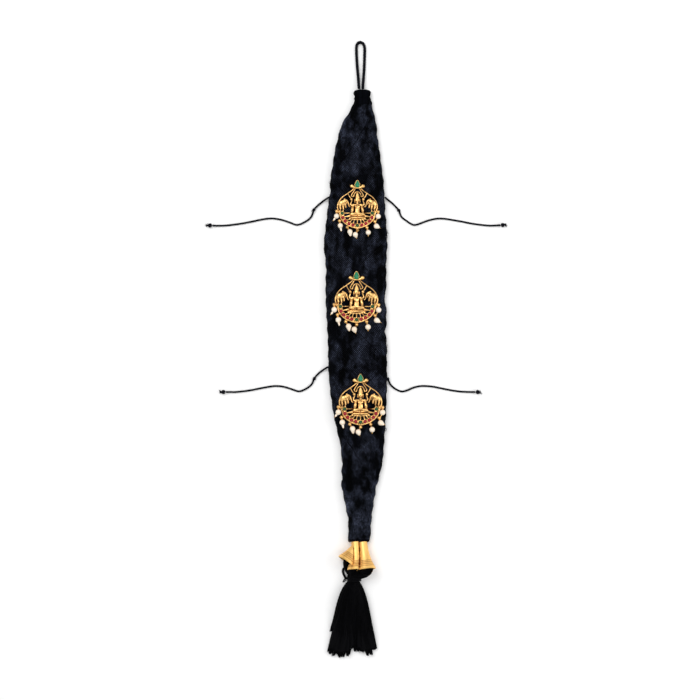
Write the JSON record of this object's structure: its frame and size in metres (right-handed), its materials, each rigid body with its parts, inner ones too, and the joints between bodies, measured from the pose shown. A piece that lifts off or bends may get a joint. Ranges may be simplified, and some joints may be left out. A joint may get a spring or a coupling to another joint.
{
  "type": "braid ornament",
  "caption": "Long padded black net strip with a hanging loop, pierced gold pendants with pearl drops, tie cords, flared gold bell caps and a black silk tassel.",
  "frame": {"origin": "a point on the flat back, under the middle pendant", "axes": "+Y along the ornament from the tassel to the hanging loop, +Z out of the flat back through the pendants, +X to the right when the pendants face the viewer and the loop is up"},
  "size_m": [0.2409, 0.4971, 0.019],
  "materials": {
    "net_cloth": "padded strip under fine black nylon net, gathered at both ends",
    "black_cord": "twisted black cotton cord, matt",
    "black_silk": "loose black silk threads with a soft sheen",
    "cast_gold": "gold plated cast brass, polished relief with darker hollows",
    "turned_gold": "gold plated spun brass, satin",
    "pearl": "imitation pearl, warm white lustre",
    "green_stone": "faceted green glass",
    "red_stone": "faceted deep red glass"
  },
  "bodies": {
    "root": {"body": "net_cloth", "neck_binding": "net_cloth", "hanging_loop": "black_cord", "tie_left_top": "black_cord", "tie_right_top": "black_cord", "tie_left_low": "black_cord", "tie_right_low": "black_cord", "knot_left_top": "black_cord", "knot_right_top": "black_cord", "knot_left_low": "black_cord", "knot_right_low": "black_cord", "casting_top": "cast_gold", "casting_middle": "cast_gold", "casting_low": "cast_gold", "crest_top": "green_stone", "crest_middle": "green_stone", "crest_low": "green_stone", "green_left_top": "green_stone", "green_low_top": "green_stone", "green_right_top": "green_stone", "green_left_middle": "green_stone", "green_low_middle": "green_stone", "green_right_middle": "green_stone", "green_left_low": "green_stone", "green_low_low": "green_stone", "green_right_low": "green_stone", "rubies_top": "red_stone", "rubies_middle": "red_stone", "rubies_low": "red_stone", "pins_top": "cast_gold", "pins_middle": "cast_gold", "pins_low": "cast_gold", "pearl_1_top": "pearl", "pearl_2_top": "pearl", "pearl_3_top": "pearl", "pearl_4_top": "pearl", "pearl_5_top": "pearl", "pearl_6_top": "pearl", "pearl_7_top": "pearl", "pearl_1_middle": "pearl", "pearl_2_middle": "pearl", "pearl_3_middle": "pearl", "pearl_4_middle": "pearl", "pearl_5_middle": "pearl", "pearl_6_middle": "pearl", "pearl_7_middle": "pearl", "pearl_1_low": "pearl", "pearl_2_low": "pearl", "pearl_3_low": "pearl", "pearl_4_low": "pearl", "pearl_5_low": "pearl", "pearl_6_low": "pearl", "pearl_7_low": "pearl", "bell_left": "turned_gold", "bell_middle": "turned_gold", "bell_right": "turned_gold", "tassel": "black_silk", "tie_wrap": "black_cord", "bow_loop": "black_cord"}
  },
  "joints": []
}
